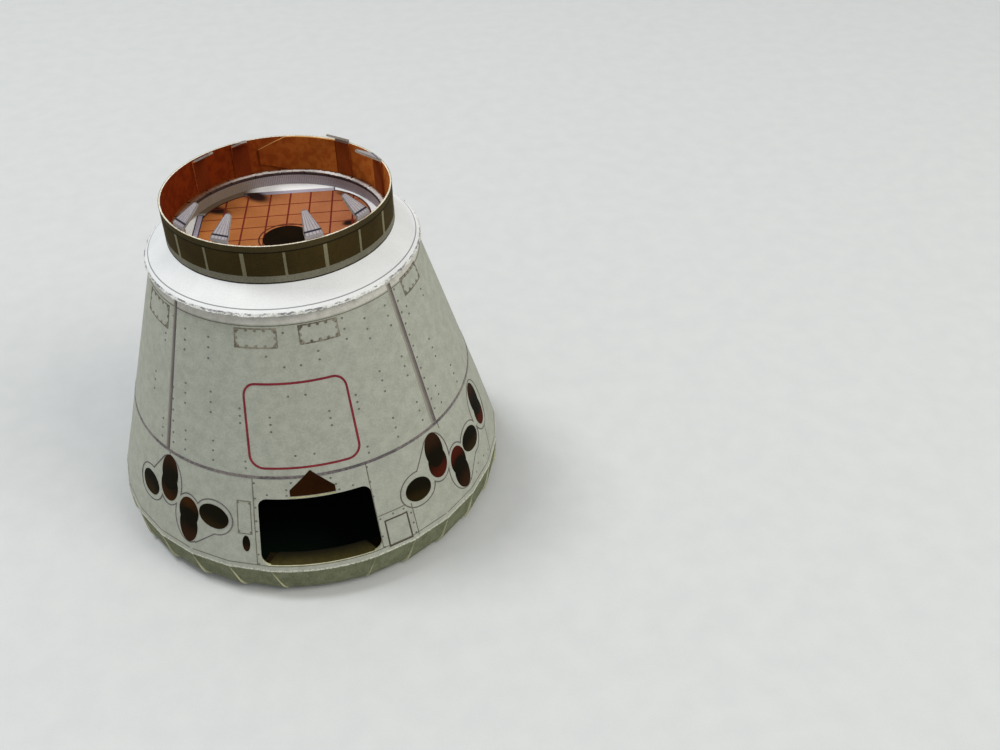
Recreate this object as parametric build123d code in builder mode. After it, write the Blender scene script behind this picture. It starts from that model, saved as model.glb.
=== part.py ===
# Card model of a space capsule
# A rolled card cone with a cut-out bay and teeth folded in under it, a sloping nose ring with a shallow well that
# holds the hatch disc, and an open collar with eight pointed guide tabs. Everything is glued, so nothing moves.
# Frame: origin at the middle of the base, +Z up, the bay faces -Y. Azimuths are degrees from +X.
from math import atan, cos, degrees, radians, sin, tan
import os

from build123d import *

os.makedirs("parts", exist_ok=True)

# Card
CARD = 0.3
THIN_CARD = 0.25

# Body cone, measured on its outside
CREASE_R = 26.25
CREASE_Z = 4.2
BODY_HALF_ANGLE = 17.0
SEAM_AZIMUTH = 90.0
SEAM_GAP = 0.15
STRIP_WIDTH = 5.0
STRIP_BOTTOM_Z = 6.0
STRIP_TOP_Z = 35.0

# Folded teeth under the body. The front one is wide and keeps the cone's round fold, and the others fold on
# straight lines, from which flat facets run up the cone and fade out
FACET_RISE = 7.0
CURL_R = 2.0
BAND_LEAN = 4.0
TEETH_END_R = 19.8
FRONT_TOOTH_HALF_WIDTH_DEG = 14.5
TEETH_COUNT = 27
SLIT_LEAN = 24.0
SLIT_TOP_WIDTH = 0.1
SLIT_FOOT_WIDTH = 0.4
SLIT_INNER_WIDTH = 1.6
INNER_SHIFT_SHARE = 0.6

# Bay, cut through the front of the body between two lines that run up the cone
BAY_HALF_WIDTH_DEG = 17.0
BAY_BOTTOM_Z = 4.9
BAY_TOP_Z = 14.0
BAY_CORNER_R = 1.2

# Glue flap folded in level from the bay's lower edge, its ends cut at a slant
FLAP_DEPTH = 2.5
FLAP_HALF_WIDTH_DEG = 15.7
FLAP_INNER_HALF_WIDTH_DEG = 13.5

# Nose ring, which overhangs the body's top edge, and the well inside it
NOSE_EDGE_R = 17.15
NOSE_EDGE_Z = 36.8
NOSE_SNIPS = 34
DECK_R = 13.9
DECK_Z = 39.0
WELL_R = 12.6
WELL_FLOOR_Z = 37.5

# Collar
COLLAR_TOP_Z = 43.9
COLLAR_FLAP = 1.05
COLLAR_FLAP_COUNT = 24
COLLAR_FLAP_GAP = 0.25
LAP_AZIMUTH = 84.4
LAP_OVERRUN_DEG = 29.0
TONGUE_DEG = 15.7
TONGUE_LOW_Z = 40.4
TONGUE_HIGH_Z = 42.4

# Guide tabs, a strap inside the collar and a pointer that leans in over the rim. They were glued in by hand, so
# their folds differ in height
TAB_AZIMUTHS = (-144.3, -118.3, -72.9, -44.1, 20.9, 50.4, 110.1, 135.4)
TAB_FOLD_HEIGHTS = (44.4, 44.4, 44.4, 44.4, 44.15, 44.4, 43.65, 43.75)
TAB_WIDTH = 2.1
TAB_TIP_WIDTH = 0.6
TAB_STRAIGHT = 0.45
TAB_POINTER = 3.3
TAB_LEAN = 59.0
TAB_TIP_SNIP = 0.2
TAB_GLUE_GAP = 0.005

# How far a cutting shape runs past the card that it cuts
OVERCUT = 1.0


def radial_plane(azimuth):
    """The upright plane through the axis: x runs outwards, y runs up."""
    a = radians(azimuth)
    return Plane(origin=(0, 0, 0), x_dir=(cos(a), sin(a), 0), z_dir=(sin(a), -cos(a), 0))


def tangent_plane(azimuth, radius, height, lean=0.0):
    """A plane that faces outwards at a place on the wall: x runs along the wall, y runs up it."""
    a = radians(azimuth)
    b = radians(lean)
    normal = (cos(a) * cos(b), sin(a) * cos(b), sin(b))
    return Plane(
        origin=(radius * cos(a), radius * sin(a), height),
        x_dir=(-sin(a), cos(a), 0),
        z_dir=normal,
    )


def body_radius(height):
    """Outer radius of the cone at a height."""
    return CREASE_R - (height - CREASE_Z) * tan(radians(BODY_HALF_ANGLE))


# The nose ring's slope, and the line under it on which the body's top edge is trimmed
NOSE_RISE = (DECK_Z - NOSE_EDGE_Z) / (NOSE_EDGE_R - DECK_R)
NOSE_DROP = THIN_CARD * (1 + NOSE_RISE**2) ** 0.5
BODY_INSET = CARD / cos(radians(BODY_HALF_ANGLE))


def under_nose(inset):
    """Where the body's face, moved in by inset, meets the underside of the nose ring."""
    slope = tan(radians(BODY_HALF_ANGLE))
    under_at_axis = NOSE_EDGE_Z + NOSE_RISE * NOSE_EDGE_R - NOSE_DROP
    radius = (CREASE_R - inset - slope * (under_at_axis - CREASE_Z)) / (1 - slope * NOSE_RISE)
    return radius, under_at_axis - NOSE_RISE * radius


# Straight folds: half the angle of a tooth, the fold's distance from the axis, and the lean of its facet
TOOTH_DEG = (360 - 2 * FRONT_TOOTH_HALF_WIDTH_DEG) / TEETH_COUNT
FRONT_AZIMUTH = SEAM_AZIMUTH + 180
FIRST_TOOTH_AZIMUTH = FRONT_AZIMUTH + FRONT_TOOTH_HALF_WIDTH_DEG + TOOTH_DEG / 2
FOLD_R = CREASE_R * cos(radians(TOOTH_DEG / 2))
FACET_TOP_Z = CREASE_Z + FACET_RISE
FACET_LEAN = degrees(atan((FOLD_R - body_radius(FACET_TOP_Z)) / FACET_RISE))
INNER_FOLD_R = FOLD_R - BODY_INSET


def full_cone(*profile):
    """A full solid of revolution from the profile of its side, closed level at both ends."""
    with BuildPart() as cone:
        with BuildSketch(Plane.XZ):
            with BuildLine():
                Polyline((0, profile[0][1]), *profile, (0, profile[-1][1]), close=True)
            make_face()
        revolve(axis=Axis.Z)
    return cone.part


def band_section(plane, fold_r):
    """Section of the folded band: it drops from the crease, curls in, creased on its inside, and lies flat."""
    curl_start_z = CURL_R * (1 - sin(radians(BAND_LEAN)))
    curl_start_r = fold_r - (CREASE_Z - curl_start_z) * tan(radians(BAND_LEAN))
    curl_centre_r = curl_start_r - CURL_R * cos(radians(BAND_LEAN))
    curl_top = radians(-BAND_LEAN)
    curl_bottom = radians(-90)
    outer, inner = (
        [
            (curl_centre_r + radius * cos(angle), CURL_R + radius * sin(angle))
            for angle in (curl_top, (curl_top + curl_bottom) / 2, curl_bottom)
        ]
        for radius in (CURL_R, CURL_R - CARD)
    )
    with BuildSketch(plane) as section:
        with BuildLine():
            Line((fold_r, CREASE_Z), outer[0])
            ThreePointArc(*outer)
            Line(outer[2], (TEETH_END_R, 0))
            Line((TEETH_END_R, 0), (TEETH_END_R, CARD))
            Line((TEETH_END_R, CARD), inner[2])
            Polyline(*inner)
            Line(inner[0], (INNER_FOLD_R, CREASE_Z))
            Line((INNER_FOLD_R, CREASE_Z), (fold_r, CREASE_Z))
        make_face()
    return section.sketch


# The slits that part the band into teeth start at the corners of the crease. On their way down they lean towards
# the front, because each tooth laps over its neighbour behind, and on the table they widen inwards
SLIT_FOOT_SHIFT = tan(radians(SLIT_LEAN)) * CREASE_Z
TABLE_R = CREASE_R - CURL_R


def tooth_space(half_angle, left_lean, right_lean):
    """The space round one tooth that faces +X; a lean of 1 moves the foot of that edge anticlockwise."""
    half_top = CREASE_R * sin(radians(half_angle)) - SLIT_TOP_WIDTH / 2
    half_foot = CREASE_R * sin(radians(half_angle)) - SLIT_FOOT_WIDTH / 2
    half_inner = TEETH_END_R * sin(radians(half_angle)) - SLIT_INNER_WIDTH / 2
    left = left_lean * SLIT_FOOT_SHIFT
    right = right_lean * SLIT_FOOT_SHIFT
    with BuildPart() as space:
        with BuildSketch(tangent_plane(0, TEETH_END_R - OVERCUT, 0)):
            with BuildLine():
                Polyline(
                    (-half_top, CREASE_Z),
                    (half_top, CREASE_Z),
                    (half_foot + right, 0),
                    (left - half_foot, 0),
                    close=True,
                )
            make_face()
        extrude(amount=CREASE_R - TEETH_END_R + 2 * OVERCUT)
        with BuildSketch(Plane.XY):
            with BuildLine():
                Polyline(
                    (CREASE_R + OVERCUT, -CREASE_R),
                    (TABLE_R, -CREASE_R),
                    (TABLE_R, left - half_foot),
                    (TEETH_END_R, INNER_SHIFT_SHARE * left - half_inner),
                    (TEETH_END_R, INNER_SHIFT_SHARE * right + half_inner),
                    (TABLE_R, half_foot + right),
                    (TABLE_R, CREASE_R),
                    (CREASE_R + OVERCUT, CREASE_R),
                    close=True,
                )
            make_face()
        extrude(amount=CREASE_Z, mode=Mode.INTERSECT)
    return space.part


def straight_tooth(lean):
    """A tooth on a straight fold, facing +X."""
    with BuildPart() as tooth:
        section = band_section(radial_plane(0), FOLD_R)
        extrude(section, amount=CREASE_R * sin(radians(TOOTH_DEG)), both=True)
        add(tooth_space(TOOTH_DEG / 2, lean, lean), mode=Mode.INTERSECT)
    return tooth.part


with BuildPart() as front_tooth:
    front_section = band_section(radial_plane(-FRONT_TOOTH_HALF_WIDTH_DEG), CREASE_R)
    revolve(front_section, axis=Axis.Z, revolution_arc=2 * FRONT_TOOTH_HALF_WIDTH_DEG)
    add(tooth_space(FRONT_TOOTH_HALF_WIDTH_DEG, 1, -1), mode=Mode.INTERSECT)

with BuildPart() as body_wrap:
    # Cone, flattened above each straight fold, then hollowed
    add(full_cone((CREASE_R, CREASE_Z), under_nose(0), under_nose(BODY_INSET)))
    for index in range(TEETH_COUNT):
        azimuth = FIRST_TOOTH_AZIMUTH + index * TOOTH_DEG
        with BuildSketch(tangent_plane(azimuth, FOLD_R, CREASE_Z, FACET_LEAN)):
            Rectangle(CREASE_R, 3 * FACET_RISE)
        extrude(amount=OVERCUT, mode=Mode.SUBTRACT)
    hollow = full_cone(
        (INNER_FOLD_R, CREASE_Z - OVERCUT),
        (INNER_FOLD_R, CREASE_Z),
        (body_radius(FACET_TOP_Z) - BODY_INSET, FACET_TOP_Z),
        (body_radius(DECK_Z + OVERCUT) - BODY_INSET, DECK_Z + OVERCUT),
    )
    add(hollow, mode=Mode.SUBTRACT)

    # Folded teeth: the front one, then the others, which lean to the front on each side
    add(front_tooth.part, rotation=(0, 0, FRONT_AZIMUTH))
    teeth = {lean: straight_tooth(lean) for lean in (-1, 0, 1)}
    middle_index = (TEETH_COUNT - 1) // 2
    for index in range(TEETH_COUNT):
        lean = (index > middle_index) - (index < middle_index)
        add(teeth[lean], rotation=(0, 0, FIRST_TOOTH_AZIMUTH + index * TOOTH_DEG))

    # Cut-out bay with rounded corners, its top and bottom edges level
    bay_top_half = body_radius(BAY_TOP_Z) * sin(radians(BAY_HALF_WIDTH_DEG))
    bay_bottom_half = body_radius(BAY_BOTTOM_Z) * sin(radians(BAY_HALF_WIDTH_DEG))
    with BuildSketch(Plane.XZ.offset(TEETH_END_R)) as bay:
        with BuildLine():
            Polyline(
                (-bay_bottom_half, BAY_BOTTOM_Z),
                (bay_bottom_half, BAY_BOTTOM_Z),
                (bay_top_half, BAY_TOP_Z),
                (-bay_top_half, BAY_TOP_Z),
                close=True,
            )
        make_face()
        fillet(bay.vertices(), BAY_CORNER_R)
    extrude(amount=CREASE_R - TEETH_END_R + OVERCUT, mode=Mode.SUBTRACT)

    # Glue flap that is folded in from the bay's lower edge
    with BuildSketch(Plane.XY.offset(BAY_BOTTOM_Z - CARD)):
        with BuildLine():
            flap_edges = [
                [(radius * sin(radians(turn)), -radius * cos(radians(turn))) for turn in (-half, 0, half)]
                for radius, half in (
                    (body_radius(BAY_BOTTOM_Z) - CARD / 2, FLAP_HALF_WIDTH_DEG),
                    (body_radius(BAY_BOTTOM_Z) - FLAP_DEPTH, FLAP_INNER_HALF_WIDTH_DEG),
                )
            ]
            ThreePointArc(*flap_edges[0])
            ThreePointArc(*flap_edges[1])
            for end in (0, 2):
                Line(flap_edges[0][end], flap_edges[1][end])
        make_face()
    extrude(amount=CARD)

    # Slit where the two ends of the wrap meet at the back
    with BuildSketch(Plane.XY.offset(CREASE_Z)):
        with Locations((0, DECK_R)):
            Rectangle(SEAM_GAP, CREASE_R, align=(Align.CENTER, Align.MIN))
    extrude(amount=DECK_Z, mode=Mode.SUBTRACT)

body_wrap.part.label = "body_wrap"
export_step(body_wrap.part, "parts/body_wrap.step")

# Strip glued inside the body behind the slit
with BuildPart() as joining_strip:
    strip_half_deg = degrees(STRIP_WIDTH / 2 / body_radius((STRIP_BOTTOM_Z + STRIP_TOP_Z) / 2))
    with BuildSketch(radial_plane(SEAM_AZIMUTH - strip_half_deg)):
        with BuildLine():
            Polyline(
                (body_radius(STRIP_BOTTOM_Z) - BODY_INSET, STRIP_BOTTOM_Z),
                (body_radius(STRIP_TOP_Z) - BODY_INSET, STRIP_TOP_Z),
                (body_radius(STRIP_TOP_Z) - 2 * BODY_INSET, STRIP_TOP_Z),
                (body_radius(STRIP_BOTTOM_Z) - 2 * BODY_INSET, STRIP_BOTTOM_Z),
                close=True,
            )
        make_face()
    revolve(axis=Axis.Z, revolution_arc=2 * strip_half_deg)
    # Its lower end is pressed flat where the body's facets bend in
    add(body_wrap.part, mode=Mode.SUBTRACT)

joining_strip.part.label = "joining_strip"
export_step(joining_strip.part, "parts/joining_strip.step")

# Ring of white card on top of the body: a flat land round the well, then a slope that overhangs the body. Its
# outline was cut in short straight snips, and the slope has a flat above each of them
WELL_OUT_R = WELL_R + THIN_CARD
NOSE_BEND_DROP = (NOSE_DROP - THIN_CARD) / NOSE_RISE


def many_sided_slope(low_r, low_z, high_r, high_z):
    """A full solid with a flat for each snip, between two levels; the distances are those of its flats."""
    with BuildPart() as slope:
        for radius, height in ((low_r, low_z), (high_r, high_z)):
            with BuildSketch(Plane.XY.offset(height)):
                RegularPolygon(radius, NOSE_SNIPS, major_radius=False)
        loft(ruled=True)
    return slope.part


with BuildPart() as nose_ring:
    with BuildSketch(Plane.XY.offset(NOSE_EDGE_Z - NOSE_DROP)):
        RegularPolygon(NOSE_EDGE_R, NOSE_SNIPS, major_radius=False)
    extrude(amount=NOSE_DROP)
    add(many_sided_slope(NOSE_EDGE_R, NOSE_EDGE_Z, DECK_R, DECK_Z))
    underside = many_sided_slope(
        NOSE_EDGE_R,
        NOSE_EDGE_Z - NOSE_DROP,
        DECK_R - NOSE_BEND_DROP,
        DECK_Z - THIN_CARD,
    )
    add(underside, mode=Mode.SUBTRACT)
    with BuildSketch(Plane.XY.offset(DECK_Z)):
        Circle(WELL_OUT_R)
    extrude(amount=-2 * THIN_CARD, mode=Mode.SUBTRACT)

nose_ring.part.label = "nose_ring"
export_step(nose_ring.part, "parts/nose_ring.step")

# Short ring that hangs in the nose ring's hole and makes the wall of the well
with BuildPart() as well_wall:
    with BuildSketch(Plane.XY.offset(WELL_FLOOR_Z)):
        Circle(WELL_OUT_R)
        Circle(WELL_R, mode=Mode.SUBTRACT)
    extrude(amount=DECK_Z - WELL_FLOOR_Z)

well_wall.part.label = "well_wall"
export_step(well_wall.part, "parts/well_wall.step")

# Flat disc under the well's wall, which carries the printed hatch
with BuildPart() as hatch_disc:
    with BuildSketch(Plane.XY.offset(WELL_FLOOR_Z - THIN_CARD)):
        Circle(WELL_OUT_R)
    extrude(amount=THIN_CARD)

hatch_disc.part.label = "hatch_disc"
export_step(hatch_disc.part, "parts/hatch_disc.step")

# Collar: a strip rolled into a ring, its foot cut into small flaps that are folded in on the nose ring's land
COLLAR_IN_R = DECK_R - THIN_CARD
FLAP_TOP_Z = DECK_Z + THIN_CARD
with BuildPart() as collar:
    with BuildSketch(Plane.XY.offset(DECK_Z)):
        Circle(DECK_R)
        Circle(COLLAR_IN_R, mode=Mode.SUBTRACT)
    extrude(amount=COLLAR_TOP_Z - DECK_Z)
    with BuildSketch(Plane.XY.offset(DECK_Z)):
        Circle(COLLAR_IN_R)
        Circle(COLLAR_IN_R - COLLAR_FLAP, mode=Mode.SUBTRACT)
        with PolarLocations(COLLAR_IN_R - COLLAR_FLAP, COLLAR_FLAP_COUNT):
            Rectangle(COLLAR_FLAP, COLLAR_FLAP_GAP, mode=Mode.SUBTRACT)
        with PolarLocations(COLLAR_IN_R, COLLAR_FLAP_COUNT):
            Rectangle(COLLAR_FLAP, COLLAR_FLAP_GAP, mode=Mode.SUBTRACT)
    extrude(amount=THIN_CARD)

collar.part.label = "collar"
export_step(collar.part, "parts/collar.step")

# The strip's glued end inside the collar, cut to a blunt point
with BuildPart() as collar_tongue:
    tongue_in_r = COLLAR_IN_R - THIN_CARD
    with BuildSketch(radial_plane(LAP_AZIMUTH - LAP_OVERRUN_DEG)):
        with BuildLine():
            Polyline(
                (tongue_in_r, FLAP_TOP_Z),
                (COLLAR_IN_R, FLAP_TOP_Z),
                (COLLAR_IN_R, COLLAR_TOP_Z),
                (tongue_in_r, COLLAR_TOP_Z),
                close=True,
            )
        make_face()
    revolve(axis=Axis.Z, revolution_arc=TONGUE_DEG + LAP_OVERRUN_DEG)
    tongue_end_x = COLLAR_IN_R * sin(radians(TONGUE_DEG))
    past_end_x = tongue_end_x + OVERCUT
    with BuildSketch(tangent_plane(LAP_AZIMUTH, COLLAR_IN_R - COLLAR_FLAP - OVERCUT, 0)):
        for edge_z, end_z, past_z in (
            (COLLAR_TOP_Z, TONGUE_HIGH_Z, COLLAR_TOP_Z + OVERCUT),
            (FLAP_TOP_Z, TONGUE_LOW_Z, FLAP_TOP_Z - OVERCUT),
        ):
            with BuildLine():
                Polyline(
                    (0, edge_z),
                    (tongue_end_x, end_z),
                    (past_end_x, end_z),
                    (past_end_x, past_z),
                    (0, past_z),
                    close=True,
                )
            make_face()
    extrude(amount=COLLAR_FLAP + 2 * OVERCUT, mode=Mode.SUBTRACT)

collar_tongue.part.label = "collar_tongue"
export_step(collar_tongue.part, "parts/collar_tongue.step")

# Guide tabs, one node each: a strap glued inside the collar, and a pointer folded in over the rim
STRAP_OUT_R = COLLAR_IN_R * cos(TAB_WIDTH / 2 / COLLAR_IN_R) - TAB_GLUE_GAP
for number, (azimuth, fold_z) in enumerate(zip(TAB_AZIMUTHS, TAB_FOLD_HEIGHTS), start=1):
    with BuildPart() as guide_tab:
        with BuildSketch(tangent_plane(azimuth, STRAP_OUT_R - THIN_CARD, 0)):
            with Locations((0, FLAP_TOP_Z)):
                Rectangle(TAB_WIDTH, fold_z - FLAP_TOP_Z, align=(Align.CENTER, Align.MIN))
        extrude(amount=THIN_CARD)
        with BuildSketch(tangent_plane(azimuth, STRAP_OUT_R, fold_z, TAB_LEAN)) as pointer:
            with BuildLine():
                Polyline(
                    (-TAB_WIDTH / 2, 0),
                    (TAB_WIDTH / 2, 0),
                    (TAB_WIDTH / 2, TAB_STRAIGHT),
                    (TAB_TIP_WIDTH / 2, TAB_POINTER),
                    (-TAB_TIP_WIDTH / 2, TAB_POINTER),
                    (-TAB_WIDTH / 2, TAB_STRAIGHT),
                    close=True,
                )
            make_face()
            chamfer(pointer.vertices().group_by(Axis.Y)[-1], TAB_TIP_SNIP)
        extrude(amount=-THIN_CARD)
    guide_tab.part.label = f"guide_tab_{number}"
    export_step(guide_tab.part, f"parts/guide_tab_{number}.step")
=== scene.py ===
# %% [markdown]
# # A card model of a space capsule
# The real object is a small paper model, 52 mm across. A printed card cone has a bay cut out of its front
# and teeth folded in under it. A white ring slopes over its top, with a dark collar, a shallow well and
# pointed tabs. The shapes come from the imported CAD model, in metres, with z up and the bay facing -y. This
# script gives the card its finishes, draws the print, and lights the scene.

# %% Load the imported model
from math import atan2, cos, degrees, hypot, pi, radians, sin, tan
from random import Random

import bpy
from mathutils import Matrix, Vector


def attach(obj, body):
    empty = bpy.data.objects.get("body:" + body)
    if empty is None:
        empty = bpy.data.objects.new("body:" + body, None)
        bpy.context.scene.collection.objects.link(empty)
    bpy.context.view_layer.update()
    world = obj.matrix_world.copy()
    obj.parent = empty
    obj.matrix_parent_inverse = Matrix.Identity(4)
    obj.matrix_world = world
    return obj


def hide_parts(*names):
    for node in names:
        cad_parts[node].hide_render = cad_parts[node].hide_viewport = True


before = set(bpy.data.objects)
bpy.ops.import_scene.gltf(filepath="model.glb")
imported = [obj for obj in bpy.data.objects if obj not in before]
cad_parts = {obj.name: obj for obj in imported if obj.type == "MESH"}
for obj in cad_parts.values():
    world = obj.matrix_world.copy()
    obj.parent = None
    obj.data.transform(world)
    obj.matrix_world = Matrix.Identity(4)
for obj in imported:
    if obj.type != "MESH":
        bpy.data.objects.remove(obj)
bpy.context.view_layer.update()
bpy.ops.object.select_all(action="DESELECT")
MM = 0.001
print("CAD nodes:", ", ".join(sorted(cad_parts)))

# %% [markdown]
# ## Camera
# The photo was taken by hand from the front, a little to the left, looking down at the model. The camera is
# put at the place that was measured from the mat's grid, aimed at a point beside the capsule, and turned
# slightly on its axis.

# %% Place the camera
CAMERA_AT = Vector((6.57, -115.24, 104.31)) * MM
CAMERA_AIM = Vector((25.15, -11.59, 20.0)) * MM
CAMERA_ROLL = radians(-0.5)
CAMERA_LENS = 37.4

bpy.ops.object.camera_add(location=CAMERA_AT)
camera = bpy.context.object
aim = (CAMERA_AIM - CAMERA_AT).to_track_quat("-Z", "Y").to_matrix()
camera.rotation_euler = (aim @ Matrix.Rotation(CAMERA_ROLL, 3, "Z")).to_euler()
camera.data.lens = CAMERA_LENS
camera.data.clip_start = 0.005
bpy.context.scene.camera = camera
print("camera distance", round((CAMERA_AIM - CAMERA_AT).length, 4))

# %% [markdown]
# ## Material helpers
# Card is matt. Close up it shows short fibres, and from further off its shade drifts a little. Every finish
# here starts from the same two noises: a fine one for the fibres, which also lifts the surface, and a broad
# one. A finish also knows a point's place on the piece in millimetres, so that one material can colour
# several regions.

# %% Helpers for materials
UP = Vector((0, 0, 1))
FIBRE_HEIGHT = 0.04


def srgb(*levels):
    """A colour as a picture shows it, 0 to 255, made linear for a shader."""
    linear = (((c / 255 + 0.055) / 1.055) ** 2.4 if c > 10 else c / 255 / 12.92 for c in levels)
    return (*linear, 1.0)


def node(look, kind, inputs=None, **settings):
    """A new shader node in a finish, with its settings made and its inputs set or joined."""
    made = look.tree.nodes.new(kind)
    for name, value in settings.items():
        setattr(made, name, value)
    for socket, value in (inputs or {}).items():
        if isinstance(value, bpy.types.NodeSocket):
            look.tree.links.new(value, made.inputs[socket])
        else:
            made.inputs[socket].default_value = value
    return made


def calc(look, operation, *values):
    """One sum on numbers."""
    return node(look, "ShaderNodeMath", dict(enumerate(values)), operation=operation).outputs[0]


def times(look, *values):
    """The product of several numbers."""
    product = values[0]
    for value in values[1:]:
        product = calc(look, "MULTIPLY", product, value)
    return product


def off(look, value, middle):
    """How far a value is from a middle one."""
    return calc(look, "ABSOLUTE", calc(look, "SUBTRACT", value, middle))


def vector(look, operation, inputs, output="Vector"):
    """One sum on vectors."""
    return node(look, "ShaderNodeVectorMath", inputs, operation=operation).outputs[output]


def blend(look, share, first, second):
    """A colour between two, by share."""
    return node(look, "ShaderNodeMix", {0: share, 6: first, 7: second}, data_type="RGBA").outputs[2]


def ramp(look, value, start, end):
    """0 before start and 1 after end, with a smooth step between them; either may be the larger."""
    inputs = {"Value": value, "From Min": start, "From Max": end}
    return node(look, "ShaderNodeMapRange", inputs, interpolation_type="SMOOTHSTEP").outputs[0]


def fade(look, value, start, end, first, second):
    """A colour that changes smoothly from the first to the second as a value goes from start to end."""
    return blend(look, ramp(look, value, start, end), first, second)


class Finish:
    """A matt card or ink: its material, a point's place in millimetres, and the noises its colours use."""

    def __init__(self, name, roughness=0.8, relief=0.35, gloss=0.2, fibre_scale=5200.0, cloud_scale=260.0):
        self.material = bpy.data.materials.new(name)
        self.material.use_nodes = True
        self.tree = self.material.node_tree
        shader = self.tree.nodes["Principled BSDF"].inputs
        self.place = node(self, "ShaderNodeTexCoord").outputs["Object"]
        in_mm = vector(self, "SCALE", {0: self.place, 3: 1 / MM})
        self.x, self.y, self.z = node(self, "ShaderNodeSeparateXYZ", {0: in_mm}).outputs
        self.fibre = self.noise(fibre_scale, Detail=5.0, Roughness=0.7)
        self.cloud = self.noise(cloud_scale, Detail=3.0)
        lift = {"Height": self.fibre, "Strength": relief, "Distance": FIBRE_HEIGHT * MM}
        self.tree.links.new(node(self, "ShaderNodeBump", lift).outputs[0], shader["Normal"])
        rough = {"Value": self.fibre, "From Min": 0.3, "From Max": 0.7}
        rough |= {"To Min": roughness - 0.08, "To Max": roughness + 0.08}
        self.tree.links.new(node(self, "ShaderNodeMapRange", rough).outputs[0], shader["Roughness"])
        shader["Specular IOR Level"].default_value = gloss

    def noise(self, scale, **inputs):
        """A noise over the piece."""
        return node(self, "ShaderNodeTexNoise", {"Vector": self.place, "Scale": scale, **inputs}).outputs[0]

    def mottle(self, dark, light):
        """A colour that the two noises move between dark and light."""
        both = calc(self, "ADD", times(self, self.fibre, 0.6), times(self, self.cloud, 0.4))
        return fade(self, both, 0.36, 0.64, srgb(*dark), srgb(*light))

    def uv(self):
        """Across and along the piece's own UV map."""
        flat = node(self, "ShaderNodeTexCoord").outputs["UV"]
        return node(self, "ShaderNodeSeparateXYZ", {0: flat}).outputs[:2]

    def colour(self, value):
        """Sends the colour to the shader."""
        self.tree.links.new(value, self.tree.nodes["Principled BSDF"].inputs["Base Color"])
        return self.material


def away_from_axis(look):
    """The level direction away from the capsule's axis, and the distance from it."""
    level = node(look, "ShaderNodeCombineXYZ", {0: look.x, 1: look.y}).outputs[0]
    return vector(look, "NORMALIZE", {0: level}), vector(look, "LENGTH", {0: level}, "Value")


def facing(look, direction):
    """1 where the surface faces that way, -1 where it faces the other way."""
    normal = node(look, "ShaderNodeNewGeometry").outputs["True Normal"]
    return vector(look, "DOT_PRODUCT", {0: normal, 1: direction}, "Value")


def thin_line(look, value, middle, half_width):
    """1 on a thin line, 0 off it."""
    return ramp(look, off(look, value, middle), half_width, half_width * 0.6)


def ink(name, dark, light, roughness=0.72, gloss=0.15, **settings):
    """A plain material: its one colour breaks up a little over the card's fibres."""
    look = Finish(name, roughness, gloss=gloss, **settings)
    return look.colour(look.mottle(dark, light))


print("helpers ready")

# %% [markdown]
# ## Floor and light
# The real model stands on a dark green cutting mat. Here it stands on a plain pale floor, and only the
# floor under its open base is painted a near-black green: the mat's colour with the deep shade inside the
# body painted in, as it is seen through the bay. In the photo soft light comes from high up at the left and a
# little behind, and a warmer one from the right, so a large lamp hangs at each place.

# %% Floor, lamps and sky
DARK_FLOOR_R = 24.0
look = Finish("floor_paint", roughness=0.6, relief=0.05)
pale = look.mottle((200, 202, 202), (206, 207, 207))
# Under the base the floor is painted near-black green: painted shade inside the body
painted_shade_under_base = ramp(look, away_from_axis(look)[1], DARK_FLOOR_R, DARK_FLOOR_R - 0.4)
bpy.ops.mesh.primitive_grid_add(x_subdivisions=8, y_subdivisions=8, size=3.0)
floor = bpy.context.object
floor.name = "floor"
floor.data.materials.append(look.colour(blend(look, painted_shade_under_base, pale, srgb(10, 24, 17))))


def hang_lamp(name, azimuth, height, distance, size, energy, colour):
    """A round lamp that looks at the model."""
    a, h = radians(azimuth), radians(height)
    way = Vector((cos(a) * cos(h), sin(a) * cos(h), sin(h)))
    bpy.ops.object.light_add(type="AREA", location=way * distance)
    lamp = bpy.context.object
    lamp.name = name
    lamp.rotation_euler = way.to_track_quat("Z", "Y").to_euler()
    lamp.data.shape = "DISK"
    lamp.data.size = size
    lamp.data.energy = energy
    lamp.data.color = colour
    print(name, [round(v, 3) for v in lamp.location])


hang_lamp("window_side", 150, 64, 0.7, 0.2, 2.2, (0.98, 1.0, 1.0))
hang_lamp("room_side", -32, 46, 0.7, 0.4, 1.9, (1.0, 0.96, 0.86))
world = bpy.data.worlds.new("studio")
world.use_nodes = True
sky = world.node_tree.nodes["Background"].inputs
sky["Color"].default_value = (0.96, 0.985, 1.0, 1.0)
sky["Strength"].default_value = 0.55
bpy.context.scene.world = world
bpy.context.scene.view_settings.view_transform = "Standard"

# %% [markdown]
# ## Card of the body
# The body is one printed sheet: pale grey outside, brown inside, cream where it was cut. The CAD node keeps
# its shape, so its material has to know which side it colours. It compares the surface's normal with the
# direction away from the middle of the card's wall, which turns downwards where the teeth are folded under.

# %% Which side of the card a point is on
CREASE_R, CREASE_Z, HALF_ANGLE = 26.25, 4.2, radians(17.0)
TEETH_MIDDLE_R = 22.5


def body_side(look):
    """1 on the printed side of the body's card, -1 on its back, about 0 on a cut edge."""
    level, radius = away_from_axis(look)
    below = ramp(look, look.z, CREASE_Z, CREASE_Z - 0.2)
    out_below = calc(look, "MAXIMUM", calc(look, "SUBTRACT", radius, TEETH_MIDDLE_R), 0.0)
    out = node(look, "ShaderNodeMix", {0: below, 2: 1 / MM, 3: out_below}).outputs[0]
    up_below = calc(look, "SUBTRACT", look.z, CREASE_Z + 0.3)
    up = node(look, "ShaderNodeMix", {0: below, 2: tan(HALF_ANGLE) / MM, 3: up_below}).outputs[0]
    upwards = node(look, "ShaderNodeCombineXYZ", {2: up}).outputs[0]
    both = vector(look, "ADD", {0: vector(look, "SCALE", {0: level, 3: out}), 1: upwards})
    return facing(look, vector(look, "NORMALIZE", {0: both}))


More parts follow.
